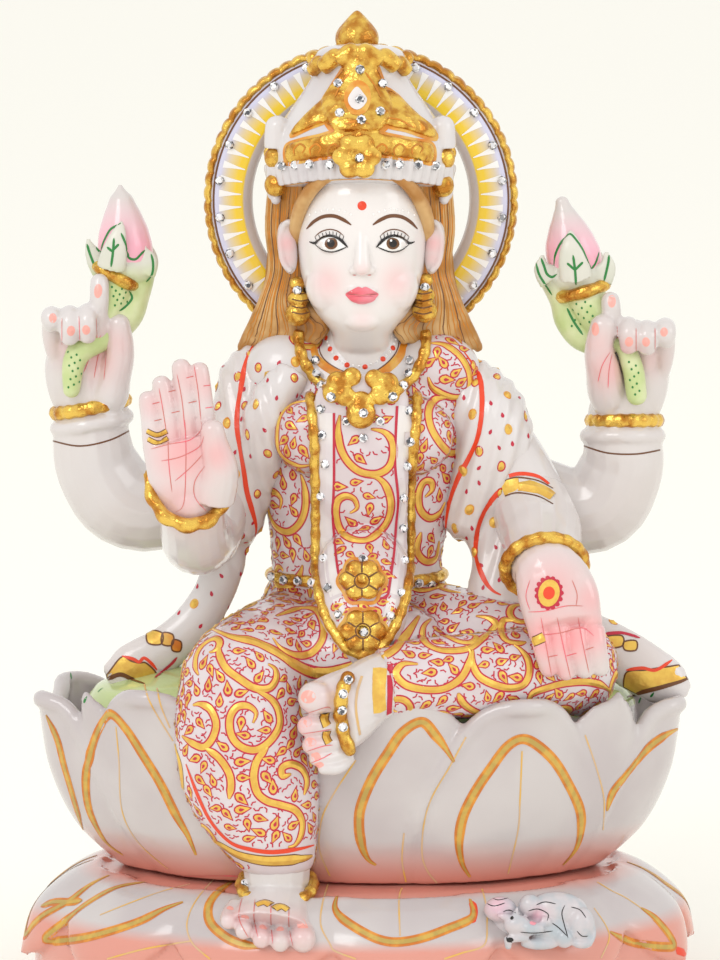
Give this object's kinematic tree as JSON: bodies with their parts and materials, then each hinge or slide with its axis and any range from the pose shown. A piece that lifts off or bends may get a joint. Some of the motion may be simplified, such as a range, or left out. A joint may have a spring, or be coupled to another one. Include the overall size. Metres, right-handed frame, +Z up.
{
  "type": "seated_deity_figure",
  "caption": "Painted white marble figure of a seated four-armed goddess on a lotus throne, with a ringed halo, gilt ornament and small glued glass stones.",
  "frame": {"origin": "middle of the flat underside", "axes": "+X to the viewer's right, +Y away from the viewer, +Z up; the figure faces -Y"},
  "size_m": [0.2084, 0.1444, 0.303],
  "materials": {
    "marble": "polished",
    "glass_stone": "gloss"
  },
  "bodies": {
    "root": {"marble_carving": "marble", "halo_stone_1": "glass_stone", "halo_stone_2": "glass_stone", "halo_stone_3": "glass_stone", "halo_stone_4": "glass_stone", "halo_stone_5": "glass_stone", "halo_stone_6": "glass_stone", "halo_stone_7": "glass_stone", "halo_stone_8": "glass_stone", "halo_stone_9": "glass_stone", "halo_stone_10": "glass_stone", "halo_stone_11": "glass_stone", "halo_stone_12": "glass_stone", "halo_stone_13": "glass_stone", "halo_stone_14": "glass_stone", "halo_stone_15": "glass_stone", "halo_stone_16": "glass_stone", "halo_stone_17": "glass_stone", "halo_stone_18": "glass_stone", "crown_jewel_stone_1": "glass_stone", "crown_jewel_stone_2": "glass_stone", "crown_jewel_stone_3": "glass_stone", "crown_jewel_stone_4": "glass_stone", "crown_jewel_stone_5": "glass_stone", "crown_jewel_stone_6": "glass_stone", "crown_jewel_stone_7": "glass_stone", "crown_flower_stone_1": "glass_stone", "crown_brim_stone_1": "glass_stone", "crown_brim_stone_2": "glass_stone", "crown_brim_stone_3": "glass_stone", "crown_brim_stone_4": "glass_stone", "crown_brim_stone_5": "glass_stone", "crown_brim_stone_6": "glass_stone", "crown_brim_stone_7": "glass_stone", "crown_brim_stone_8": "glass_stone", "earring_stone_1": "glass_stone", "earring_stone_2": "glass_stone", "necklace_stone_1": "glass_stone", "necklace_stone_2": "glass_stone", "necklace_stone_3": "glass_stone", "necklace_stone_4": "glass_stone", "necklace_stone_5": "glass_stone", "necklace_stone_6": "glass_stone", "necklace_stone_7": "glass_stone", "necklace_stone_8": "glass_stone", "pendant_stone_1": "glass_stone", "pendant_stone_2": "glass_stone", "pendant_stone_3": "glass_stone", "pendant_stone_4": "glass_stone", "sash_flower_stone_1": "glass_stone", "sash_flower_stone_2": "glass_stone"}
  },
  "joints": []
}
